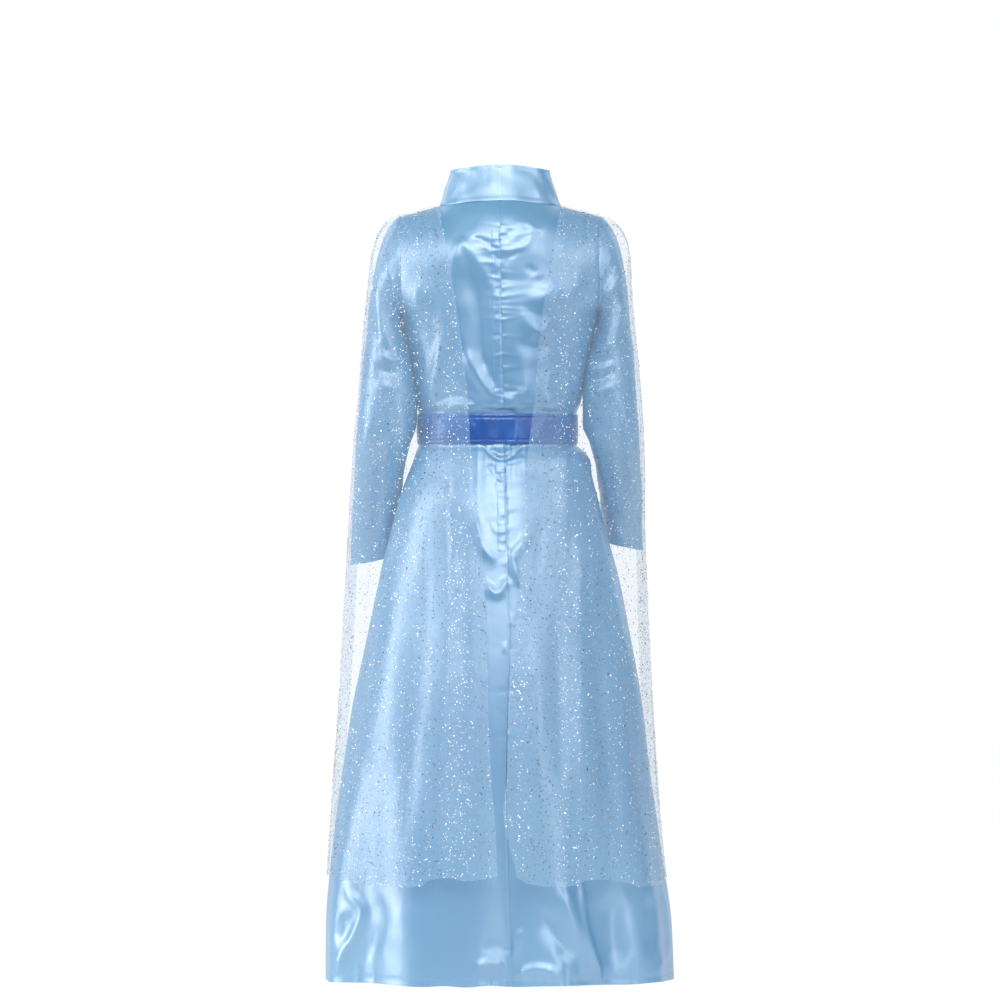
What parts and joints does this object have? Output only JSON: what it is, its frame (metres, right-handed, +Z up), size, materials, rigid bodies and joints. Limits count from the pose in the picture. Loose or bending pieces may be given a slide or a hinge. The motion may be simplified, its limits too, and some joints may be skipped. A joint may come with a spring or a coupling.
{
  "type": "princess costume dress",
  "caption": "Child's long pale-blue satin costume dress with a stand collar, long sleeves, a royal-blue belt and sheer glitter cape panels, in its worn shape",
  "frame": {"origin": "middle of the neck opening at shoulder height, where the wearer's shoulders carry the dress", "axes": "+Z up, +Y to the wearer's front, +X to the wearer's right"},
  "size_m": [0.4845, 0.4276, 1.1281],
  "materials": {
    "satin": "smooth glossy satin",
    "belt_satin": "smooth satin, topstitched",
    "sheer_glitter": "sheer net with glitter",
    "closing_strip": "hook-and-loop tape covered in satin"
  },
  "bodies": {
    "root": {"bodice_front": "satin", "bodice_back_left": "satin", "bodice_back_right": "satin", "collar": "satin", "sleeve_left": "satin", "sleeve_right": "satin", "skirt_front": "satin", "skirt_back_left": "satin", "skirt_back_right": "satin", "belt": "belt_satin", "placket_bodice": "closing_strip", "placket_skirt": "closing_strip", "cape_left": "sheer_glitter", "cape_right": "sheer_glitter"}
  },
  "joints": []
}
